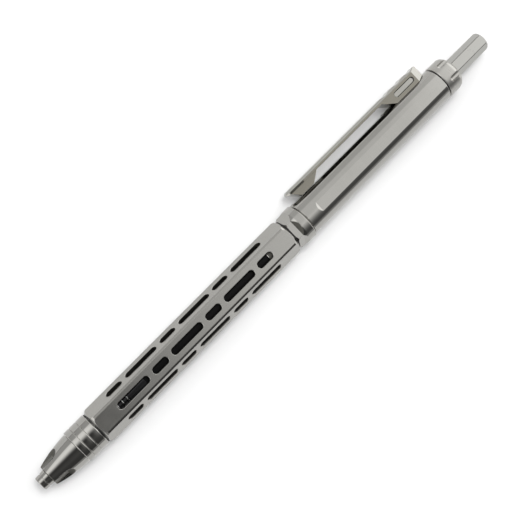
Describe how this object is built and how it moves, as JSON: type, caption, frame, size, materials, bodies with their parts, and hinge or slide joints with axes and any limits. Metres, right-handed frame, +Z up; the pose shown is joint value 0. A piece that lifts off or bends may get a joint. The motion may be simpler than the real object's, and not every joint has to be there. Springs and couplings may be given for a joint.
{
  "type": "click pen",
  "caption": "Titanium click pen with a hexagonal slotted grip, a machined pocket clip, a notched end cap and a hexagonal push button that slides in and advances the refill.",
  "frame": {"origin": "on the table under the middle of the pen's outline", "axes": "+X along the pen from its writing end to its push button, +Y towards the pocket clip, +Z up"},
  "size_m": [0.145, 0.0118, 0.0091],
  "materials": {
    "satin_titanium": "blasted and brushed satin titanium, slightly warm grey",
    "polished_titanium": "turned and polished titanium",
    "steel": "bright steel",
    "brass": "turned brass",
    "black_plastic": "black moulded plastic",
    "black_rubber": "black nitrile rubber",
    "white_resin": "off-white acetal resin"
  },
  "bodies": {
    "pen_body": {"nozzle_tip": "satin_titanium", "nose_cone": "polished_titanium", "nose_ring": "polished_titanium", "nose_o_ring": "black_rubber", "grip_barrel": "satin_titanium", "collar_o_ring": "black_rubber", "joint_collar": "satin_titanium", "upper_barrel": "satin_titanium", "clip": "satin_titanium", "clip_screw_front": "steel", "clip_screw_rear": "steel", "guide_sleeve": "brass", "cap_o_ring": "black_rubber", "end_cap": "satin_titanium", "return_spring": "steel"},
    "knock": {"knock_rod": "satin_titanium", "thrust_crown": "white_resin"},
    "refill": {"refill_ball": "steel", "refill_point": "brass", "refill_nose": "black_plastic", "refill_tube": "black_plastic", "refill_plug": "white_resin"},
    "cam": {"rotary_cam": "brass"}
  },
  "joints": [
    {"name": "knock_press", "type": "slide", "parent": "pen_body", "child": "knock", "axis": [-1, 0, 0], "range_m": [0, 0.007], "stiffness_N_per_m": 400, "springref_m": -0.004, "deforming": ["return_spring"]},
    {"name": "refill_advance", "type": "slide", "parent": "pen_body", "child": "refill", "axis": [-1, 0, 0], "range_m": [0, 0.007]},
    {"name": "cam_turn", "type": "hinge", "parent": "refill", "child": "cam", "pos_m": [0.0315, -0.00128, 0.00457], "axis": [1, 0, 0], "range_deg": [0, 22.5]}
  ],
  "couplings": [
    {"joint": "refill_advance", "follows": "knock_press", "ratio": 1},
    {"joint": "cam_turn", "follows": "knock_press", "rad_per_m": 56.099}
  ]
}
